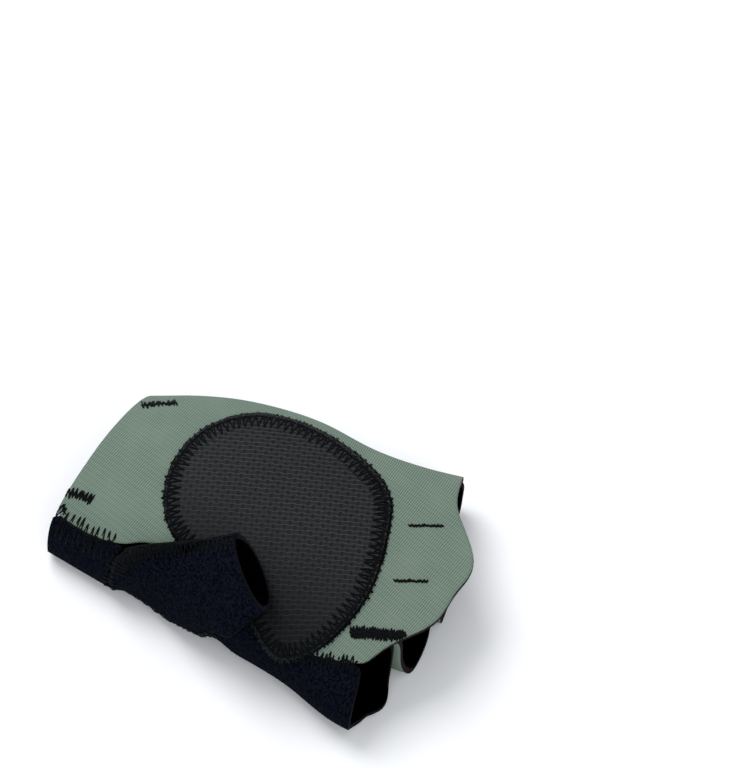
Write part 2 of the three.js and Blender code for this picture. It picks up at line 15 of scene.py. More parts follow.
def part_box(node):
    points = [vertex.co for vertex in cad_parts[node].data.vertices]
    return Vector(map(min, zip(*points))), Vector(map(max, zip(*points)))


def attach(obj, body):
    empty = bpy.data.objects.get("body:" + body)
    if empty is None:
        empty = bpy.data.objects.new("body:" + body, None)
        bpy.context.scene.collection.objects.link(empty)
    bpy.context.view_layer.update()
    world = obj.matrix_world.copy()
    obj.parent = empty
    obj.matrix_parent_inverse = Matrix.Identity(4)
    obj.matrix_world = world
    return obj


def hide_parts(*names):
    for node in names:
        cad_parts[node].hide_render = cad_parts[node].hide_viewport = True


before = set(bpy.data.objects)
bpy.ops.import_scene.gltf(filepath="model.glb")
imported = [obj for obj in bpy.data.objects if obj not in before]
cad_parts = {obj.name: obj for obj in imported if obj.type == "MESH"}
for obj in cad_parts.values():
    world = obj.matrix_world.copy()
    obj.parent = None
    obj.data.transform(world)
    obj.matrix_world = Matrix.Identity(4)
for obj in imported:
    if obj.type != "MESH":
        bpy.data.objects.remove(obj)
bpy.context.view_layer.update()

MM = 0.001
BODY = "root"
log = logging.getLogger("glove")

Socket = bpy.types.NodeSocket
Shape = bmesh.types.BMesh
Piece = bpy.types.Object
Pair = tuple[float, float]
Triple = tuple[float, float, float]
Names = tuple[str, ...]
Line = list[Vector]
Look = tuple[Socket, Socket | None]


class Hold(Enum):
    """How a cut of cloth is held."""

    STRETCHED = "stretched"
    FOLDED = "folded"
    LAID = "laid"


def linear(colour: str) -> tuple[float, float, float, float]:
    """Turns an sRGB hex colour to the linear values that the shaders use.

    Args:
        colour: six hex digits, such as "7d9184".

    Returns:
        Red, green, blue and an alpha of 1.
    """
    shares = [int(colour[i : i + 2], 16) / 255 for i in (0, 2, 4)]
    values = [s / 12.92 if s <= 0.04045 else ((s + 0.055) / 1.055) ** 2.4 for s in shares]
    return (*values, 1.0)


class Nodes:
    """The nodes of one material, and the place on the object in millimetres."""

    def __init__(self, name: str) -> None:
        """Makes an empty material of that name, with its shader."""
        material = bpy.data.materials.new(name)
        material.use_nodes = True
        self.tree = material.node_tree
        self.tree.nodes.clear()
        self.shader = self.add("ShaderNodeBsdfPrincipled")
        self.add("ShaderNodeOutputMaterial", {"Surface": self.shader.outputs["BSDF"]})
        place = self.add("ShaderNodeTexCoord").outputs["Object"]
        self.place = self.add("ShaderNodeMapping", {"Vector": place, "Scale": (1 / MM,) * 3}).outputs["Vector"]

    def add(self, kind: str, values: dict | None = None, **settings) -> bpy.types.Node:
        """Adds a node, with its settings, values and links.

        Args:
            kind: the node's type name.
            values: input names or numbers, each with a value or the socket that drives it.
            **settings: the node's own properties.

        Returns:
            The new node.
        """
        node = self.tree.nodes.new(kind)
        for name, setting in settings.items():
            setattr(node, name, setting)
        for name, value in (values or {}).items():
            if isinstance(value, Socket):
                self.tree.links.new(value, node.inputs[name])
            else:
                node.inputs[name].default_value = value
        return node

    def mix(self, share, first, second) -> Socket:
        """Mixes two colours by a share, each given as a value or a socket."""
        return self.add("ShaderNodeMix", {0: share, 6: first, 7: second}, data_type="RGBA").outputs[2]

    def math(self, operation: str, *values) -> Socket:
        """Does one step of arithmetic on values or sockets."""
        return self.add("ShaderNodeMath", dict(enumerate(values)), operation=operation).outputs[0]

    def between(self, value: Socket, bounds: Pair, ends: Pair = (0.0, 1.0), smooth: bool = False) -> Socket:
        """Turns a value between two bounds to one between two ends, reaching them softly if it is smooth."""
        limits = dict(zip(("From Min", "From Max", "To Min", "To Max"), (*bounds, *ends)))
        values = {"Value": value, **limits}
        way = "SMOOTHSTEP" if smooth else "LINEAR"
        return self.add("ShaderNodeMapRange", values, interpolation_type=way).outputs["Result"]

    def along(self, way: Triple, place: Socket | None = None) -> Socket:
        """How far a place lies along a direction, in millimetres."""
        values = {0: self.place if place is None else place, 1: way}
        return self.add("ShaderNodeVectorMath", values, operation="DOT_PRODUCT").outputs["Value"]

    def stripes(self, way: Triple, pitch: float, shift: float | Socket = 0.0) -> Socket:
        """Even waves across a surface.

        Args:
            way: the direction across the stripes.
            pitch: the distance between stripes, in millimetres.
            shift: a length in millimetres that pushes the stripes along.

        Returns:
            A value from -1 to 1.
        """
        moved = self.math("ADD", self.along(way), shift)
        return self.math("SINE", self.math("MULTIPLY", moved, 2 * math.pi / pitch))

    def grain(self, size: float, detail: float = 2.0) -> Socket:
        """Cloudy noise with grains of a size in millimetres, from 0 to 1."""
        values = {"Vector": self.place, "Scale": 1 / size, "Detail": detail, "Roughness": 0.6}
        return self.add("ShaderNodeTexNoise", values).outputs["Fac"]


@dataclass(frozen=True)
class Finish:
    """A finish: what every material of the glove shares. Its sizes are in millimetres.

    relief is how deep its bumps are and strength how much of them shows, and gleam is the shine's level.
    """

    name: str
    _: KW_ONLY
    relief: float = 0.05
    strength: float = 0.5
    roughness: float = 0.8
    gleam: float = 0.06

    def connect(self, nodes: Nodes, colour: Socket, height: Socket | None) -> None:
        """Joins a colour, and a height where there is one, to the shader."""
        links, inputs = nodes.tree.links, nodes.shader.inputs
        links.new(colour, inputs["Base Color"])
        inputs["Roughness"].default_value = self.roughness
        inputs["Specular IOR Level"].default_value = self.gleam
        if height is not None:
            depth = {"Height": height, "Strength": self.strength, "Distance": self.relief * MM}
            links.new(nodes.add("ShaderNodeBump", depth).outputs["Normal"], inputs["Normal"])

    def dress(self) -> bpy.types.Material:
        """Makes the material, or returns it if it was made already."""
        if self.name not in bpy.data.materials:
            nodes = Nodes(self.name)
            self.connect(nodes, *self.paint(nodes))
        return bpy.data.materials[self.name]

    def paint(self, nodes: Nodes) -> Look:
        """Builds the colour, and the height where there is one."""
        raise NotImplementedError


@dataclass(frozen=True)
class ShadedFinish(Finish):
    """A finish that is deep where it lies low and high where it stands out; shades are those two heights."""

    deep: str
    high: str
    _: KW_ONLY
    shades: Pair = (0.0, 1.0)

    def shade(self, nodes: Nodes, height: Socket) -> Socket:
        """The colour at a height."""
        return nodes.mix(nodes.between(height, self.shades), linear(self.deep), linear(self.high))


@dataclass(frozen=True)
class RibbedJersey(ShadedFinish):
    """Polyester jersey laminated to neoprene: knitted in fine slanting ribs, matt, with a faint bloom."""

    patch: str
    _: KW_ONLY
    rib_way: Triple = (0.862, -0.286, -0.418)
    rib_pitch: float = 0.728
    wander_size: float = 7.0
    wander: float = 0.7
    course_way: Triple = (0.315, 0.949, 0.0)
    course_pitch: float = 1.9
    course_share: float = 0.15
    fuzz_size: float = 0.5
    fuzz_share: float = 0.9
    patch_size: float = 16.0
    patch_share: float = 0.3
    shades: Pair = (-1.2, 2.1)
    roughness: float = 0.82

    def paint(self, nodes: Nodes) -> Look:
        """Ribs light on top and dark between, broken by the courses, with broad faint patches."""
        wander = nodes.math("MULTIPLY", nodes.grain(self.wander_size), self.wander)
        ribs = nodes.stripes(self.rib_way, self.rib_pitch, wander)
        courses = nodes.stripes(self.course_way, self.course_pitch)
        knit = nodes.math("ADD", ribs, nodes.math("MULTIPLY", courses, self.course_share))
        fuzz = nodes.math("MULTIPLY", nodes.grain(self.fuzz_size, 4.0), self.fuzz_share)
        height = nodes.math("ADD", knit, fuzz)
        colour = self.shade(nodes, height)
        cloud = nodes.between(nodes.grain(self.patch_size), (0.4, 0.75))
        tinted = nodes.mix(cloud, colour, linear(self.patch))
        return nodes.mix(self.patch_share, colour, tinted), height


@dataclass(frozen=True)
class SmoothJersey(ShadedFinish):
    """Fine nylon jersey laminated to neoprene: nearly smooth, blue-black, with a dusty bloom and fluff."""

    fluff: str
    _: KW_ONLY
    weave_way: Triple = (0.8, 0.5, 0.6)
    weave_pitch: float = 0.88
    weave_share: float = 0.3
    wander_size: float = 1.2
    mottle_size: float = 0.9
    mottle_share: float = 9.0
    bloom: float = 0.85
    fluff_size: float = 0.9
    shades: Pair = (3.5, 5.5)
    relief: float = 0.04
    roughness: float = 0.75

    def paint(self, nodes: Nodes) -> Look:
        """A fine mottle over a faint broken weave, and a few light specks of fluff."""
        wander = nodes.grain(self.wander_size)
        weave = nodes.stripes(self.weave_way, self.weave_pitch, wander)
        mottle = nodes.math("MULTIPLY", nodes.grain(self.mottle_size, 3.0), self.mottle_share)
        height = nodes.math("MULTIPLY_ADD", weave, self.weave_share, mottle)
        bloom = nodes.mix(self.bloom, linear(self.deep), self.shade(nodes, height))
        speck = nodes.between(nodes.grain(self.fluff_size), (0.77, 0.84))
        return nodes.mix(speck, bloom, linear(self.fluff)), height


@dataclass(frozen=True)
class RawNeoprene(ShadedFinish):
    """Closed-cell chloroprene foam where it was cut: brown-black, pitted, dull, with the jersey's fibres."""

    _: KW_ONLY
    cell: float = 0.5
    fibre_size: float = 0.8
    shades: Pair = (0.4, 1.3)
    relief: float = 0.1
    strength: float = 0.6
    roughness: float = 0.9
    gleam: float = 0.05

    def paint(self, nodes: Nodes) -> Look:
        """Pits of the foam's cells, lighter on their walls."""
        cells = nodes.add("ShaderNodeTexVoronoi", {"Vector": nodes.place, "Scale": 1 / self.cell})
        height = nodes.math("ADD", cells.outputs["Distance"], nodes.grain(self.fibre_size, 3.0))
        return self.shade(nodes, height), height


@dataclass(frozen=True)
class GripCloth(Finish):
    """Rubberised grip cloth: coarse charcoal yarns in a broken brick weave, with dark pits between them.

    The thumb's side, next to the thumb stall, is darkened with painted shade: painted_shade_way points to it,
    and painted_shade_bounds are where along that way the painted shade starts and ends.
    """

    ground: str
    yarn: str
    pit: str
    _: KW_ONLY
    row_way: Triple = (0.967, 0.255, 0.0)
    row_length: float = 3.7
    stack_way: Triple = (-0.255, 0.967, 0.15)
    row_height: float = 1.67
    wander_scale: float = 0.35
    wander: float = 0.9
    speckle_size: float = 0.6
    patch_size: float = 11.0
    painted_shade_way: Triple = (-0.2, -0.98, 0.0)
    painted_shade_bounds: Pair = (-12.0, 30.0)
    painted_shade_share: float = 0.7
    relief: float = 0.14
    strength: float = 0.6
    roughness: float = 0.62
    gleam: float = 0.15

    def weave(self, nodes: Nodes) -> tuple[Socket, Socket]:
        """Rows of yarn floats, each row half a step on.

        Args:
            nodes: the material's nodes.

        Returns:
            How much of a float, and of a pit between two floats, a place is.
        """
        cloud = {"Vector": nodes.place, "Scale": self.wander_scale, "Detail": 2.0}
        wander = nodes.add("ShaderNodeTexNoise", cloud).outputs["Color"]
        moved = nodes.add("ShaderNodeVectorMath", {0: wander, 3: self.wander}, operation="SCALE").outputs[0]
        bent = nodes.add("ShaderNodeVectorMath", {0: nodes.place, 1: moved}, operation="ADD").outputs[0]
        rows = nodes.math("DIVIDE", nodes.along(self.stack_way, bent), self.row_height)
        odd_row = nodes.math("FLOORED_MODULO", nodes.math("FLOOR", rows), 2.0)
        steps = nodes.math("DIVIDE", nodes.along(self.row_way, bent), self.row_length)
        share_along = nodes.math("FRACT", nodes.math("MULTIPLY_ADD", odd_row, 0.5, steps))
        share_up = nodes.math("FRACT", rows)

        # 0 at the middle of a float and 1 at its ends and edges
        end = nodes.math("ABSOLUTE", nodes.math("MULTIPLY_ADD", share_along, 2.0, -1.0))
        edge = nodes.math("ABSOLUTE", nodes.math("MULTIPLY_ADD", share_up, 2.0, -1.0))
        at_end = nodes.between(end, (0.66, 0.92), smooth=True)
        in_row = nodes.between(edge, (0.6, 1.0), (1.0, 0.0), smooth=True)
        at_rim = nodes.between(edge, (0.6, 0.95), smooth=True)
        in_float = nodes.between(end, (0.45, 0.75), (1.0, 0.0))
        return nodes.math("MULTIPLY", at_rim, in_float), nodes.math("MULTIPLY", at_end, in_row)

    def paint(self, nodes: Nodes) -> Look:
        """Light floats and dark pits on a patchy ground, with painted shade darkening the thumb's side by the
        stall.
        """
        floats, pits = self.weave(nodes)
        speckle = nodes.grain(self.speckle_size, 3.0)
        patches = nodes.math("MULTIPLY", nodes.grain(self.patch_size), 0.5)
        lit = nodes.math("MULTIPLY", floats, nodes.math("MULTIPLY", speckle, 1.2))
        pit = linear(self.pit)
        ground = nodes.mix(patches, linear(self.ground), pit)
        woven = nodes.mix(lit, ground, linear(self.yarn))
        pitted = nodes.mix(nodes.math("MULTIPLY", pits, 0.85), woven, pit)
        # painted shade: the pad darkens toward the thumb stall's side, standing in for the shade that falls
        # there
        reach = nodes.along(self.painted_shade_way)
        painted_shade = nodes.between(reach, self.painted_shade_bounds, (0.0, self.painted_shade_share), smooth=True)
        height = nodes.math("SUBTRACT", nodes.math("MULTIPLY_ADD", speckle, 0.5, lit), pits)
        return nodes.mix(painted_shade, pitted, pit), height


@dataclass(frozen=True)
class SewingThread(ShadedFinish):
    """Twisted polyester sewing thread: two plies, black, with a dull silky gleam on the crowns."""

    _: KW_ONLY
    ply_way: Triple = (0.6, 0.6, 0.5)
    twist: float = 0.7
    wander_size: float = 1.5
    fibre_size: float = 0.3
    shades: Pair = (-0.6, 1.8)
    roughness: float = 0.5

    def paint(self, nodes: Nodes) -> Look:
        """The plies' twist as slanting bands, and loose fibres as a grain."""
        plies = nodes.stripes(self.ply_way, self.twist, nodes.grain(self.wander_size))
        height = nodes.math("ADD", plies, nodes.grain(self.fibre_size, 3.0))
        return self.shade(nodes, height), height


@dataclass(frozen=True)
class FasteningTape(ShadedFinish):
    """Woven nylon tape with a face of hooks or of loops: black, set in rows, glinting on the hooks."""

    spacing: float
    _: KW_ONLY
    unevenness: float = 0.35
    fibre_size: float = 0.4
    shades: Pair = (-0.5, 0.6)
    strength: float = 0.9
    gleam: float = 0.5

    def paint(self, nodes: Nodes) -> Look:
        """A bump at each hook or tuft, set in rows."""
        rows = {"Vector": nodes.place, "Scale": 1 / self.spacing, "Randomness": self.unevenness}
        dots = nodes.add("ShaderNodeTexVoronoi", rows).outputs["Distance"]
        height = nodes.math("SUBTRACT", nodes.grain(self.fibre_size, 4.0), dots)
        return self.shade(nodes, height), height


@dataclass(frozen=True)
class PaperSweep(Finish):
    """A photographer's white paper sweep: flat, matt and a little uneven."""

    tone: str
    _: KW_ONLY
    cloud_size: float = 60.0
    roughness: float = 0.95
    gleam: float = 0.1

    def paint(self, nodes: Nodes) -> Look:
        """White paper with a very faint cloudiness."""
        cloud = nodes.grain(self.cloud_size)
        return nodes.mix(cloud, linear(self.tone), linear("ffffff")), None


SAGE_JERSEY = RibbedJersey("sage_ribbed_jersey", deep="475349", high="819386", patch="7f8b7c")
BLACK_JERSEY = SmoothJersey("blue_black_jersey", deep="01030c", high="13161f", fluff="2a3038", gleam=0.01)
LINING_JERSEY = SmoothJersey("black_lining_jersey", deep="000001", high="020203", fluff="050507", gleam=0.0)
CUT_FOAM = RawNeoprene("raw_cut_neoprene", deep="0c090a", high="261e20")
BLACK_CUT_FOAM = RawNeoprene("raw_cut_black_neoprene", deep="050507", high="131218")
GRIP = GripCloth("rubberised_grip_cloth", ground="191b1c", yarn="494b4c", pit="040508")
THREAD = SewingThread("black_polyester_thread", deep="010102", high="0a0d0f")
HOOK_FACE = FasteningTape("nylon_hook_tape", "08080a", "34343a", 1.3, relief=0.5, roughness=0.45)
LOOP_FACE = FasteningTape("nylon_loop_tape", "0a0a0c", "26262b", 0.9, relief=0.3, roughness=0.85)
SWEEP = PaperSweep("white_paper_sweep", tone="f4f5f6")

# a cloth's outer face, its lining and its cut edge
SAGE_LAYERS = [SAGE_JERSEY, LINING_JERSEY, CUT_FOAM]
BLACK_LAYERS = [BLACK_JERSEY, LINING_JERSEY, BLACK_CUT_FOAM]
GRIP_LAYERS = [GRIP, GRIP, GRIP]


def finish_object(piece: Piece, slot: str, *nodes: str) -> Piece:
    """Declares a finished piece to the frame and reports it.

    Args:
        piece: the finished piece.
        slot: not used.
        *nodes: the plain solids that it stands for.

    Returns:
        The piece.
    """
    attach(piece, BODY)
    if nodes:
        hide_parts(*nodes)
    log.info("%s: %d faces before its modifiers", piece.name, len(piece.data.polygons))
    return piece


def height_of(edge: bmesh.types.BMEdge) -> float:
    """How far an edge rises from one end to the other."""
    return abs(edge.verts[0].co.z - edge.verts[1].co.z)


def object_from(shape: Shape, name: str, finishes: list[Finish]) -> Piece:
    """Turns a bmesh into an object at the origin, shaded smooth.

    Args:
        shape: the mesh, which is freed.
        name: the object's name.
        finishes: one finish for each material number of the faces.

    Returns:
        The new object.
    """
    mesh = bpy.data.meshes.new(name)
    shape.to_mesh(mesh)
    shape.free()
    for finish in finishes:
        mesh.materials.append(finish.dress())
    mesh.polygons.foreach_set("use_smooth", [True] * len(mesh.polygons))
    piece = bpy.data.objects.new(name, mesh)
    bpy.context.scene.collection.objects.link(piece)
    return piece


@dataclass
class Softness:
    """The slow waves that soft cloth takes as it lies, the same for all cloths, so that they stay apart."""

    height: float = 0.55 * MM
    length: float = 24 * MM
    still_below: float = 7 * MM
    seed: int = 4

    def __post_init__(self) -> None:
        """Sets the noise going from a fixed seed, because it starts from the clock otherwise."""
        noise.seed_set(self.seed)

    def move(self, place: Vector) -> Vector:
        """How far the cloth at a place has moved; nothing moves on the floor."""
        share = min(1.0, max(0.0, place.z / self.still_below))
        return noise.noise_vector(place / self.length) * self.height * share


SOFTNESS = Softness()


@dataclass(frozen=True)
class Pull:
    """A place where a cloth bags out or is drawn in, in millimetres.

    middle is its middle, spread how far it reaches along each axis, and way how far its middle moves.
    """

    middle: Triple
    spread: Triple
    way: Triple

    def move(self, place: Vector) -> Vector:
        """How far the cloth at a place has moved."""
        away = Vector([(p / MM - m) / s for p, m, s in zip(place, self.middle, self.spread)])
        return Vector(self.way) * MM * max(0.0, 1.0 - away.length_squared) ** 2


@dataclass
class Cloth:
    """One cut of cloth, made from its plain solid: smoothed, waved, and finished face, lining and edge.

    A layer larger than lining_share of the outer face is lining, and a smaller one is cut edge. Two faces that
    meet at more than fold belong to different layers.
    """

    node: str
    name: str
    slot: str
    finishes: list[Finish]
    flat: Pair
    area: float
    hold: Hold
    rests_on: list[str] = field(default_factory=list)
    pulls: tuple[Pull, ...] = ()
    lining_share: float = 0.2
    smooth_levels: int = 2
    edge_crease: float = 0.55
    fold: float = math.radians(62)
    weld: float = 0.01 * MM
    join_turn: float = math.radians(40)
    join_skew: float = math.radians(60)

    def layers(self, shape: Shape) -> list[list[bmesh.types.BMFace]]:
        """The mesh's layers between its sharp edges, with the largest, the outer face, first."""
        found: list[list[bmesh.types.BMFace]] = []
        seen: set[bmesh.types.BMFace] = set()
        for start in shape.faces:
            if start in seen:
                continue
            seen.add(start)
            waiting, layer = [start], []
            while waiting:
                face = waiting.pop()
                layer.append(face)
                for edge in face.edges:
                    if edge.calc_face_angle(math.pi) > self.fold:
                        continue
                    for other in edge.link_faces:
                        if other not in seen:
                            seen.add(other)
                            waiting.append(other)
            found.append(layer)
        return sorted(found, key=lambda layer: sum(face.calc_area() for face in layer), reverse=True)

    def paint(self, shape: Shape) -> None:
        """Gives the outer face, the lining and the cut edges their finishes, and keeps the edges crisp."""
        layers = self.layers(shape)
        least = self.lining_share * sum(face.calc_area() for face in layers[0])
        for layer in layers[1:]:
            finish = 1 if sum(face.calc_area() for face in layer) > least else 2
            for face in layer:
                face.material_index = finish
        crease = shape.edges.layers.float.get("crease_edge") or shape.edges.layers.float.new("crease_edge")
        for edge in shape.edges:
            finishes = {face.material_index for face in edge.link_faces}
            if len(finishes) > 1 and 2 in finishes:
                edge[crease] = self.edge_crease

    def build(self) -> Piece:
        """Builds the cloth and returns it."""
        shape = bmesh.new()
        shape.from_mesh(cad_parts[self.node].data)
        bmesh.ops.remove_doubles(shape, verts=shape.verts[:], dist=self.weld)
        limits = {"angle_face_threshold": self.join_turn, "angle_shape_threshold": self.join_skew}
        bmesh.ops.join_triangles(shape, faces=shape.faces[:], **limits)
        self.paint(shape)
        for vertex in shape.verts:
            moves = [SOFTNESS.move(vertex.co)] + [pull.move(vertex.co) for pull in self.pulls]
            vertex.co += sum(moves, Vector())
        piece = object_from(shape, self.name, self.finishes)
        smooth = piece.modifiers.new("smooth", "SUBSURF")
        smooth.levels = smooth.render_levels = self.smooth_levels
        finish_object(piece, self.slot, self.node)
        return piece


@dataclass
class Cover:
    """The glove's cloths: each one's flat size and area, and the places where it is pulled."""

    palm_flat: Pair = (150 * MM, 150 * MM)
    palm_area: float = 0.0128
    side_flat: Pair = (135 * MM, 100 * MM)
    side_area: float = 0.0066
    loop_width: float = 15 * MM
    loop_lengths: tuple[tuple[str, float], ...] = (("middle", 63 * MM), ("ring", 63 * MM), ("little", 56 * MM))
    stall_flat: Pair = (62 * MM, 52 * MM)
    stall_area: float = 0.0025
    stall_fold: float = math.radians(30)
    pad_flat: Pair = (85 * MM, 86 * MM)
    pad_area: float = 0.005

    def palm(self) -> Cloth:
        """The grey-green palm, whose wrap lies under the hand."""
        names = ("palm_panel", "palm_cloth", "sage_neoprene")
        size = (self.palm_flat, self.palm_area, Hold.FOLDED)
        return Cloth(*names, SAGE_LAYERS, *size, ["side_and_strap_cloth"])

    def side(self) -> Cloth:
        """The black side, whose strap lies on the floor."""
        names = ("side_strap_panel", "side_and_strap_cloth", "black_neoprene")
        size = (self.side_flat, self.side_area, Hold.FOLDED)
        index_opening = Pull((54, -40, 1), (20, 12, 9), (4.2, 0, 0))
        thumb_hole = Pull((-7, -36, 9), (8, 6, 6), (-0.3, -0.4, 0.7))
        return Cloth(*names, BLACK_LAYERS, *size, pulls=(index_opening, thumb_hole))

    def loop(self, finger: str, length: float) -> Cloth:
        """The strip's loop round one of the middle, ring and little fingers."""
        names = (f"finger_loop_{finger}", f"{finger}_finger_loop_cloth", "sage_neoprene")
        flat = (self.loop_width, length)
        return Cloth(*names, SAGE_LAYERS, flat, self.loop_width * length, Hold.STRETCHED)

    def stall(self) -> Cloth:
        """The black tube round the thumb, folded over the palm."""
        names = ("thumb_stall", "thumb_stall_cloth", "black_neoprene")
        size = (self.stall_flat, self.stall_area, Hold.FOLDED)
        lower_side = Pull((7, -36.5, 27), (16, 8, 14), (0, -3.6, -4.6))
        palm_root = Pull((-7, -37, 10), (8, 7, 7), (1.0, -0.1, -1.5))
        wrist_root = Pull((-46, -36, 9), (6, 8, 9), (-1.6, 0.0, 0.0))
        pulls = (lower_side, palm_root, wrist_root)
        return Cloth(*names, BLACK_LAYERS, *size, ["grip_pad_cloth"], pulls, fold=self.stall_fold)

    def pad(self) -> Cloth:
        """The pad of grip cloth on the palm."""
        size = (self.pad_flat, self.pad_area, Hold.LAID)
        return Cloth("grip_pad", "grip_pad_cloth", "grip_cloth", GRIP_LAYERS, *size, ["palm_cloth"])

    def build(self) -> list[Piece]:
        """Builds every cloth."""
        loops = [self.loop(finger, length) for finger, length in self.loop_lengths]
        return [cloth.build() for cloth in (self.palm(), self.side(), *loops, self.stall(), self.pad())]


@dataclass
class Tape:
    """A tape with rounded corners, made from its plain solid; flat_turn is the turn that counts as flat."""

    node: str
    name: str
    slot: str
    finish: Finish
    flat: Pair
    corner: float = 2.5 * MM
    rim: float = 0.25 * MM
    weld: float = 0.01 * MM
    upright: float = 0.5 * MM
    flat_turn: float = math.radians(2)
    sharp_turn: float = math.radians(60)

    def build(self) -> Piece:
        """Builds the tape and returns it."""
        shape = bmesh.new()
        shape.from_mesh(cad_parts[self.node].data)
        bmesh.ops.remove_doubles(shape, verts=shape.verts[:], dist=self.weld)
        parts = {"verts": shape.verts[:], "edges": shape.edges[:]}
        bmesh.ops.dissolve_limit(shape, angle_limit=self.flat_turn, **parts)
        posts = [edge for edge in shape.edges if height_of(edge) > self.upright]
        rounded = {"affect": "EDGES", "profile": 0.5, "material": -1}
        bmesh.ops.bevel(shape, geom=posts, offset=self.corner, segments=4, **rounded)
        rims = [edge for edge in shape.edges if edge.calc_face_angle(0.0) > self.sharp_turn]
        bmesh.ops.bevel(shape, geom=rims, offset=self.rim, segments=2, **rounded)
        piece = object_from(shape, self.name, [self.finish])
        finish_object(piece, self.slot, self.node)
        return piece


# the wrist's fastening, under the hand
TAPES = (
    Tape("loop_patch", "loop_tape_patch", "loop_tape", LOOP_FACE, (37 * MM, 19 * MM)),
    Tape("hook_patch", "hook_tape_patch", "hook_tape", HOOK_FACE, (40 * MM, 30 * MM)),
)


@dataclass
class Hit:
    """A place on the dressed cloths."""

    place: Vector
    normal: Vector
    cloth: str


class SewnSurface:
    """The dressed cloths, as a surface that thread is laid on."""

    far_off = 0.2
    stride = 0.6 * MM
    halvings = 5
    clear = 0.05 * MM

    def __init__(self, pieces: list[Piece]) -> None:
        """Reads the pieces' finished shapes."""
        graph = bpy.context.evaluated_depsgraph_get()
        self.trees = {piece.name: BVHTree.FromObject(piece, graph) for piece in pieces}

    def hit(self, place: Vector, facing: Vector, cloths: Names = (), reach: float = 0) -> Hit | None:
        """The first cloth met on the way in from outside.

        Args:
            place: a place on the way.
            facing: the direction that the cloth is looked at from.
            cloths: the cloths that count, or none for all of them.
            reach: how far outside the place the way starts, or 0 for far off.

        Returns:
            The place on the cloth, or None where there is no cloth.
        """
        origin = place + facing * (reach or self.far_off)
        best, nearest = None, math.inf
        for name, tree in self.trees.items():
            if cloths and name not in cloths:
                continue
            found, normal, _, distance = tree.ray_cast(origin, -facing)
            if found is not None and distance < nearest:
                nearest = distance
                best = Hit(found, normal if normal.dot(facing) > 0 else -normal, name)
        return best

    def edge(self, cloth: str, start: Vector, end: Vector, facing: Vector, cloths: Names) -> Vector | None:
        """The first place on the way from start to end where a cloth is met.

        Args:
            cloth: the cloth that is looked for.
            start: where the search starts.
            end: where it ends.
            facing: the direction that the cloths are looked at from.
            cloths: the cloths that may hide it.

        Returns:
            The place on the cloth's edge, or None if it isn't met.
        """
        count = math.ceil((end - start).length / self.stride)
        before = start
        for index in range(count + 1):
            place = start.lerp(end, index / count)
            found = self.hit(place, facing, cloths)
            if found and found.cloth == cloth:
                return self.refine(cloth, before, place, facing, cloths)
            before = place
        return None

    def refine(self, cloth: str, outside: Vector, inside: Vector, facing: Vector, cloths: Names) -> Vector:
        """The edge of a cloth between a place outside it and one inside it, halved a few times."""
        for _ in range(self.halvings):
            middle = (outside + inside) / 2
            found = self.hit(middle, facing, cloths)
            if found and found.cloth == cloth:
                inside = middle
            else:
                outside = middle
        return self.hit(inside, facing, cloths).place

    def covered(self, place: Vector, facing: Vector, cloth: str, room: float) -> bool:
        """Whether a cloth lies within a distance outside a place."""
        return self.trees[cloth].ray_cast(place + facing * self.clear, facing, room)[0] is not None


def spaced(path: Line, pitch: float) -> Line:
    """Places an even distance apart along a broken line.

    Args:
        path: the line's corners.
        pitch: the distance wanted, which is changed a little so that it fits the line's length.

    Returns:
        The places, from the line's start to its end.
    """
    lengths = [(b - a).length for a, b in zip(path, path[1:])]
    total = sum(lengths)
    count = max(1, round(total / pitch))
    places, piece, passed = [], 0, 0.0
    for step in range(count + 1):
        wanted = total * step / count
        while piece < len(lengths) - 1 and passed + lengths[piece] < wanted:
            passed += lengths[piece]
            piece += 1
        share = (wanted - passed) / max(lengths[piece], 1e-9)
        places.append(path[piece].lerp(path[piece + 1], min(share, 1.0)))
    return places


def thread_pattern() -> bpy.types.Mesh:
    """The mesh that every length of thread is a stretched copy of, made once: a bar with rounded ends."""
    name = "thread_pattern"
    if name not in bpy.data.meshes:
        shape = bmesh.new()
        bar = {"cap_ends": True, "segments": 6, "radius1": 1, "radius2": 1, "depth": 2}
        bmesh.ops.create_cone(shape, **bar)
        rims = [edge for edge in shape.edges if height_of(edge) < 0.1]
        rounding = {"affect": "EDGES", "offset": 0.5, "segments": 1, "profile": 0.5, "material": -1}
        bmesh.ops.bevel(shape, geom=rims, **rounding)
        shape.to_mesh(bpy.data.meshes.new(name))
        shape.free()
    return bpy.data.meshes[name]


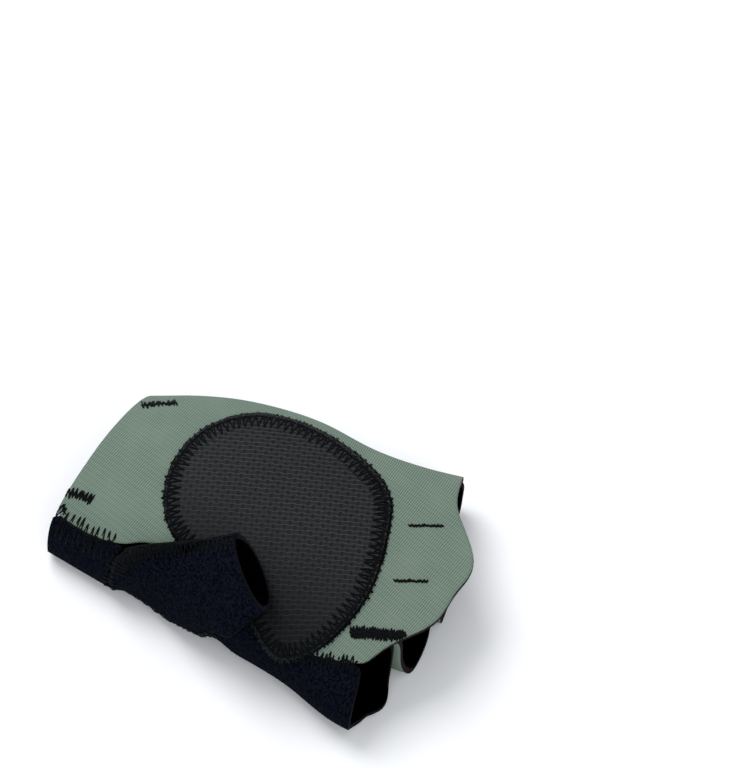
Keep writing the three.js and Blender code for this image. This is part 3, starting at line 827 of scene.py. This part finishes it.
@dataclass
class Seam:
    """Thread along a line on the cloth: what every kind of seam shares.

    facing is the direction that the cloth is looked at from, cloths are the cloths that it is sewn on, and
    bow is how far the thread stands off them. longest is the longest straight length of thread, and room is how
    near the thumb stall lies where it hides the seam.
    """

    shortest = 0.1 * MM
    overlap = 0.6

    pitch: float
    thread: float = 0.3 * MM
    bow: float = 0.1 * MM
    facing: Vector = field(default_factory=lambda: Vector((0, 0, 1)))
    cloths: Names = ()
    reach: float = 0.0
    uneven: float = 0.1
    longest: float = 1.7 * MM
    room: float = 1.6 * MM
    seed: int = 7

    def bar(self, shape: Shape, start: Hit, end: Hit) -> None:
        """Lays one straight length of thread between two places on the cloth."""
        way = end.place - start.place
        if way.length < self.shortest or way.length > self.longest * 3:
            return
        middle = (start.place + end.place) / 2 + (start.normal + end.normal).normalized() * self.bow
        turn = way.to_track_quat("Z", "Y").to_matrix().to_4x4()
        size = Matrix.Diagonal((self.thread, self.thread, way.length / 2 + self.thread * self.overlap, 1))
        copy = thread_pattern().copy()
        copy.transform(Matrix.Translation(middle) @ turn @ size)
        shape.from_mesh(copy)
        bpy.data.meshes.remove(copy)

    def lay(self, shape: Shape, surface: SewnSurface, start: Vector, end: Vector) -> None:
        """Lays thread over the cloth from one place to another, in short lengths that follow its shape."""
        count = max(1, math.ceil((end - start).length / self.longest))
        places = [start.lerp(end, index / count) for index in range(count + 1)]
        hits = [surface.hit(place, self.facing, self.cloths, self.reach) for place in places]
        for first, last in zip(hits, hits[1:]):
            if first and last and not self.hidden(surface, first):
                self.bar(shape, first, last)

    def hidden(self, surface: SewnSurface, hit: Hit) -> bool:
        """Whether the thumb stall lies right on a place that the thread isn't sewn to it at."""
        stall = "thumb_stall_cloth"
        return hit.cloth != stall and surface.covered(hit.place, self.facing, stall, self.room)

    def sideways(self, places: Line, index: int) -> Vector:
        """The direction to the left of the line at one of its places."""
        along = places[min(index + 1, len(places) - 1)] - places[max(index - 1, 0)]
        return self.facing.cross(along).normalized()

    def sew(self, shape: Shape, surface: SewnSurface, path: Line) -> None:
        """Sews the seam.

        Args:
            shape: the thread's mesh.
            surface: the cloths.
            path: the line's corners.
        """
        raise NotImplementedError


@dataclass
class Zigzag(Seam):
    """Stitches that slant from one side of the line to the other and back.

    left and right are how far they reach to either side; one of them may be below 0.
    """

    left: float = 1 * MM
    right: float = 1 * MM
    rows: int = 1

    def sew(self, shape: Shape, surface: SewnSurface, path: Line) -> None:
        """Sews the zigzag along a path."""
        chance = random.Random(self.seed)
        for _ in range(self.rows):
            places = spaced(path, self.pitch / 2)
            ends = []
            for index, place in enumerate(places):
                reach = self.left if index % 2 == 0 else -self.right
                reach += chance.uniform(-self.uneven, self.uneven) * (self.left + self.right)
                step = places[min(index + 1, len(places) - 1)] - place
                slip = step * chance.uniform(-1, 1) * self.uneven * 3
                ends.append(place + self.sideways(places, index) * reach + slip)
            for start, end in zip(ends, ends[1:]):
                self.lay(shape, surface, start, end)


@dataclass
class StitchedLine(Seam):
    """Stitches end to end in a line beside the path; part is the share of the line that shows thread."""

    beside: float = 0.0
    part: float = 1.0

    def sew(self, shape: Shape, surface: SewnSurface, path: Line) -> None:
        """Sews the stitches along a path."""
        chance = random.Random(self.seed)
        places = spaced(path, self.pitch)
        line = []
        for index, place in enumerate(places):
            aside = self.beside + chance.uniform(-self.uneven, self.uneven) * self.thread
            line.append(place + self.sideways(places, index) * aside)
        for start, end in zip(line, line[1:]):
            self.lay(shape, surface, start, start.lerp(end, self.part))


# the directions that the seams are looked at from
UP = Vector((0, 0, 1))
DOWN = Vector((0, 0, -1))
NEAR_SIDE = Vector((0.1, -0.75, 0.65)).normalized()
PAD_SIDE = Vector((0, -0.38, 0.92)).normalized()


def at(*places: Pair) -> Line:
    """A line on the floor's plane from places in millimetres."""
    return [Vector((x, y, 0)) * MM for x, y in places]


@dataclass
class Sewing:
    """All the thread of the glove, black, on the palm side and on the back.

    view and view_up are the camera's directions. seam_wrist, seam_index and stall_edge are stretches along the
    hand, and hole_turns is one round the thumb hole, looked for from hole_reach millimetres off. Steps, rows
    and turns are how finely a line is followed, and outside is how far off the pad its outline is looked for.
    """

    surface: SewnSurface
    view: Vector
    view_up: Vector
    pad_turns: int = 140
    outside: float = 0.6
    seam_steps: int = 16
    seam_wrist: Pair = (-69.5 * MM, -45 * MM)
    seam_index: Pair = (24 * MM, 49.2 * MM)
    stall_steps: int = 24
    stall_rows: int = 80
    stall_edge: Pair = (-45 * MM, -4 * MM)
    hole_steps: int = 36
    hole_reach: float = 40.0
    hole_middle: Vector = field(default_factory=lambda: Vector((-24, -24, 12)) * MM)
    hole_turns: Pair = (math.radians(95), math.radians(335))
    loop_patch_size: Pair = (34 * MM, 16.5 * MM)
    loop_patch_turn: float = math.radians(-76)
    lining_middle: Vector = field(default_factory=lambda: Vector((5, 5, 0)) * MM)
    lining_inset: float = 0.06
    lining_level: float = 24 * MM

    palm_side = ("palm_cloth", "grip_pad_cloth", "side_and_strap_cloth")
    seam_cloths = ("palm_cloth", "side_and_strap_cloth")
    stall_cloths = ("thumb_stall_cloth", "side_and_strap_cloth", "palm_cloth")
    root_cloths = ("thumb_stall_cloth", "side_and_strap_cloth")

    def piece(self, name: str, runs: list[tuple[Seam, Line]]) -> Piece:
        """Sews several seams, each along its line, as one piece of thread, and returns it."""
        shape = bmesh.new()
        for seam, path in runs:
            seam.sew(shape, self.surface, path)
        return finish_object(object_from(shape, name, [THREAD]), "black_neoprene")

    def pad_outline(self) -> Line:
        """The pad's outline seen from above, clockwise and closed."""
        low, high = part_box("grip_pad")
        middle = (low + high) / 2
        outline = []
        for turn in range(self.pad_turns + 1):
            angle = -2 * math.pi * turn / self.pad_turns
            way = Vector((math.cos(angle), math.sin(angle), 0))
            start = middle + way * (high - low).length * self.outside
            outline.append(self.surface.edge("grip_pad_cloth", start, middle, PAD_SIDE, self.palm_side))
        return [place for place in outline if place]

    def palm_seam(self, first: float, last: float) -> Line:
        """The palm's edge along the black side, from one place along the hand to another."""
        low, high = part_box("side_strap_panel")
        found = []
        for index in range(self.seam_steps + 1):
            place = Vector((first + (last - first) * index / self.seam_steps, 0, 0))
            start, end = place + Vector((0, low.y, 0)), place + Vector((0, high.y, 0))
            found.append(self.surface.edge("palm_cloth", start, end, UP, self.seam_cloths))
        return [place for place in found if place]

    def stall_top(self) -> Line:
        """The stall's upper edge as the camera sees it."""
        low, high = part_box("thumb_stall")
        first, last = self.stall_edge
        line = []
        for index in range(self.stall_steps + 1):
            x = first + (last - first) * index / self.stall_steps
            rows = [low.y + (high.y - low.y) * row / self.stall_rows for row in range(self.stall_rows + 1)]
            hits = [self.surface.hit(Vector((x, y, 0)), UP, ("thumb_stall_cloth",)) for y in rows]
            places = [hit.place for hit in hits if hit]
            if places:
                line.append(max(places, key=lambda place: place.dot(self.view_up)))
        return line

    def stall_base(self) -> Line:
        """The seam round the wrist's side of the thumb hole, from the palm down to the floor."""
        across = -NEAR_SIDE.cross(UP).normalized()
        rise = -across.cross(NEAR_SIDE).normalized()
        first, last = self.hole_turns
        line = []
        for index in range(self.hole_steps + 1):
            angle = first + (last - first) * index / self.hole_steps
            way = across * math.cos(angle) + rise * math.sin(angle)
            start = self.hole_middle + way * self.hole_reach * MM
            line.append(self.surface.edge("thumb_stall_cloth", start, self.hole_middle, NEAR_SIDE, ()))
        return [place for place in line if place]

    def pad_thread(self) -> Piece:
        """The overlocked band round the pad: legs into the pad, and a chain on its edge."""
        outline = self.pad_outline()
        on_pad = {"cloths": self.palm_side, "facing": PAD_SIDE}
        legs = Zigzag(2.7 * MM, left=1.1 * MM, right=5.2 * MM, uneven=0.05, **on_pad)
        more = Zigzag(2.6 * MM, thread=0.2 * MM, left=0.9 * MM, right=2.6 * MM, seed=11, **on_pad)
        chain = StitchedLine(1.5 * MM, thread=0.45 * MM, beside=0.3 * MM, uneven=0.5, **on_pad)
        inner = StitchedLine(1.7 * MM, beside=-1.0 * MM, uneven=0.9, **on_pad)
        return self.piece("pad_overlock_thread", [(seam, outline) for seam in (legs, more, chain, inner)])

    def seam_thread(self) -> Piece:
        """The zigzag seams between the grey-green palm and the black side."""
        wrist = self.palm_seam(*self.seam_wrist)
        index = self.palm_seam(*self.seam_index)
        both = {"cloths": self.seam_cloths}
        wide = Zigzag(2.3 * MM, thread=0.26 * MM, left=2.9 * MM, right=4.3 * MM, **both)
        wide_edge = StitchedLine(1.4 * MM, thread=0.45 * MM, beside=-0.2 * MM, uneven=0.8, **both)
        fine = Zigzag(1.5 * MM, left=1.7 * MM, right=2.6 * MM, uneven=0.16, seed=5, **both)
        fine_edge = StitchedLine(1.2 * MM, thread=0.5 * MM, uneven=0.8, **both)
        runs = [(wide, wrist), (wide_edge, wrist), (fine, index), (fine_edge, index)]
        return self.piece("palm_seam_thread", runs)

    def stall_thread(self) -> Piece:
        """The overlocked upper edge of the thumb stall, and the seam round its root."""
        top = self.stall_top()
        base = self.stall_base()
        on_stall = {"facing": self.view, "cloths": self.stall_cloths}
        legs = Zigzag(1.7 * MM, thread=0.28 * MM, left=-0.7 * MM, right=5.0 * MM, **on_stall)
        edge = StitchedLine(1.4 * MM, thread=0.42 * MM, beside=-0.6 * MM, uneven=0.8, **on_stall)
        on_root = {"facing": NEAR_SIDE, "cloths": self.root_cloths}
        root = Zigzag(2.2 * MM, thread=0.28 * MM, left=2.2 * MM, right=2.2 * MM, seed=4, **on_root)
        root_edge = StitchedLine(1.4 * MM, thread=0.4 * MM, uneven=0.8, **on_root)
        tails = Zigzag(3.1 * MM, thread=0.2 * MM, left=-0.5 * MM, right=8.0 * MM, seed=9, **on_stall)
        runs = [(legs, top), (edge, top), (root, base), (root_edge, base), (tails, top[:6])]
        return self.piece("thumb_stall_thread", runs)

    def tack_thread(self) -> Piece:
        """The tacks between the fingers, which hold the strip of loops to the palm."""
        palm = {"cloths": ("palm_cloth",)}
        dense = {"uneven": 0.14, "rows": 2}
        heavy = Zigzag(0.9 * MM, thread=0.36 * MM, left=1.7 * MM, right=1.8 * MM, **dense, **palm)
        line = StitchedLine(1.3 * MM, thread=0.55 * MM, uneven=1.2, seed=2, **palm)
        thin = Zigzag(1.1 * MM, thread=0.26 * MM, left=0.6 * MM, right=0.5 * MM, uneven=0.2, **palm)
        thin_line = StitchedLine(1.3 * MM, thread=0.4 * MM, uneven=0.6, **palm)
        index_tack = at((42.7, -27.6), (51.2, -25.3), (60.4, -23.0))
        loose_end = at((42.7, -28.4), (50.0, -27.0))
        runs = [(heavy, index_tack), (line, index_tack), (line, loose_end)]
        for place in (at((50.3, -5.6), (60.8, -1.7)), at((48.1, 16.0), (58.9, 20.4))):
            runs += [(thin, place), (thin_line, place)]
        return self.piece("finger_tack_thread", runs)

    def dart_thread(self) -> Piece:
        """The darts that take the palm in at the wrist, and the loose tail of thread beside them."""
        palm = {"cloths": ("palm_cloth",)}
        dense = {"uneven": 0.2, "rows": 2, "seed": 3}
        darts = Zigzag(1.3 * MM, thread=0.28 * MM, left=1.5 * MM, right=1.6 * MM, **dense, **palm)
        middle = StitchedLine(1.6 * MM, thread=0.4 * MM, uneven=1.2, part=0.9, **palm)
        tail = Zigzag(2.1 * MM, thread=0.26 * MM, left=1.1 * MM, right=0.9 * MM, uneven=0.3, seed=8, **palm)
        far = at((-57.8, 32.4), (-51.7, 35.0), (-46.3, 37.6))
        near = at((-69.0, -8.6), (-64.3, -8.8), (-58.4, -9.6))
        loose = at((-68.2, -12.4), (-67.3, -16.0))
        runs = [(darts, far), (middle, far), (darts, near), (middle, near), (tail, loose)]
        return self.piece("wrist_dart_thread", runs)

    def back_thread(self) -> Piece:
        """The thread seen on the back: round the strap's loop tape, and across the strip of loops."""
        low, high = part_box("loop_patch")
        middle = (low + high) / 2
        length, width = self.loop_patch_size
        turn = Matrix.Rotation(self.loop_patch_turn, 3, "Z")
        corners = [(-0.5, -0.5), (0.5, -0.5), (0.5, 0.5), (-0.5, 0.5), (-0.5, -0.5)]
        outline = [middle + turn @ Vector((x * length, y * width, 0)) for x, y in corners]
        thin = {"thread": 0.22 * MM, "bow": 0.02 * MM, "facing": DOWN}
        flat = StitchedLine(2.4 * MM, part=0.8, uneven=0.4, **thin)
        strip = at((50.0, 17.5), (64.0, 17.5))
        return self.piece("strap_thread", [(flat, outline), (flat, strip)])

    def lining_thread(self) -> Piece:
        """The pad's seam where it comes through the palm's lining, seen through the open back."""
        inside = [place.lerp(self.lining_middle, self.lining_inset) for place in self.pad_outline()]
        level = [Vector((place.x, place.y, self.lining_level)) for place in inside]
        lining = {"facing": DOWN, "cloths": ("palm_cloth",), "reach": 11 * MM, "room": 0.0}
        line = StitchedLine(2.2 * MM, thread=0.28 * MM, part=0.75, uneven=0.6, **lining)
        return self.piece("lining_thread", [(line, level)])

    def build(self) -> list[Piece]:
        """Sews everything."""
        return [
            self.pad_thread(),
            self.seam_thread(),
            self.stall_thread(),
            self.tack_thread(),
            self.dart_thread(),
            self.back_thread(),
            self.lining_thread(),
        ]


@dataclass(frozen=True)
class Lamp:
    """A soft square lamp that faces the glove, in metres and watts."""

    name: str
    place: Triple
    size: float
    watts: float

    def build(self) -> None:
        """Makes the lamp."""
        light = bpy.data.lights.new(self.name, "AREA")
        light.size = self.size
        light.energy = self.watts
        lamp = bpy.data.objects.new(self.name, light)
        lamp.location = self.place
        lamp.rotation_euler = Vector(self.place).to_track_quat("Z", "Y").to_euler()
        bpy.context.scene.collection.objects.link(lamp)


@dataclass
class Studio:
    """The white sweep, the soft lights and the camera at the photograph's viewing angle."""

    azimuth: float = math.radians(19.5)
    elevation: float = math.radians(58)
    distance: float = 0.8
    aim: Vector = field(default_factory=lambda: Vector((12.567, 81.543, 0)) * MM)
    lens: float = 100.0
    sensor: float = 36.0
    sweep_size: float = 4.0
    sweep_depth: float = 0.4 * MM
    room_colour: str = "f2f5fa"
    room_light: float = 0.72
    lamps: tuple[Lamp, ...] = (
        Lamp("key", (-0.7, 0.5, 1.3), 0.9, 14.8),
        Lamp("fill", (0.9, -0.9, 1.1), 1.2, 4.6),
    )

    def back(self) -> Vector:
        """The direction from the glove to the camera."""
        flat = math.cos(self.elevation)
        across, away = math.sin(self.azimuth) * flat, math.cos(self.azimuth) * flat
        return Vector((across, -away, math.sin(self.elevation)))

    def view_up(self) -> Vector:
        """The direction that is up in the picture."""
        return (Vector((0, 0, 1)) - self.back() * self.back().z).normalized()

    def camera(self) -> None:
        """Makes the camera."""
        camera = bpy.data.objects.new("camera", bpy.data.cameras.new("camera"))
        camera.data.lens = self.lens
        camera.data.sensor_width = self.sensor
        camera.data.clip_start = 10 * MM
        camera.location = self.aim + self.back() * self.distance
        camera.rotation_euler = self.back().to_track_quat("Z", "Y").to_euler()
        bpy.context.scene.collection.objects.link(camera)
        bpy.context.scene.camera = camera

    def sweep(self) -> None:
        """Lays the paper sweep under the glove."""
        shape = bmesh.new()
        grid = {"x_segments": 8, "y_segments": 8, "size": self.sweep_size / 2}
        bmesh.ops.create_grid(shape, matrix=Matrix.Translation((0, 0, -self.sweep_depth)), **grid)
        object_from(shape, "paper_sweep", [SWEEP])

    def room(self) -> None:
        """Lights the room evenly and softly."""
        world = bpy.data.worlds.new("soft_room")
        world.use_nodes = True
        light = world.node_tree.nodes["Background"].inputs
        light["Color"].default_value = linear(self.room_colour)
        light["Strength"].default_value = self.room_light
        bpy.context.scene.world = world

    def build(self) -> None:
        """Builds the studio."""
        self.camera()
        self.sweep()
        self.room()
        for lamp in self.lamps:
            lamp.build()
        bpy.context.scene.view_settings.view_transform = "Standard"


def main() -> None:
    """Builds the glove and its studio in order."""
    logging.basicConfig(level=logging.INFO, format="%(name)s: %(message)s")
    studio = Studio()
    studio.build()
    cloths = Cover().build() + [tape.build() for tape in TAPES]
    bpy.context.view_layer.update()
    Sewing(SewnSurface(cloths), studio.back(), studio.view_up()).build()


if __name__ == "__main__":
    main()
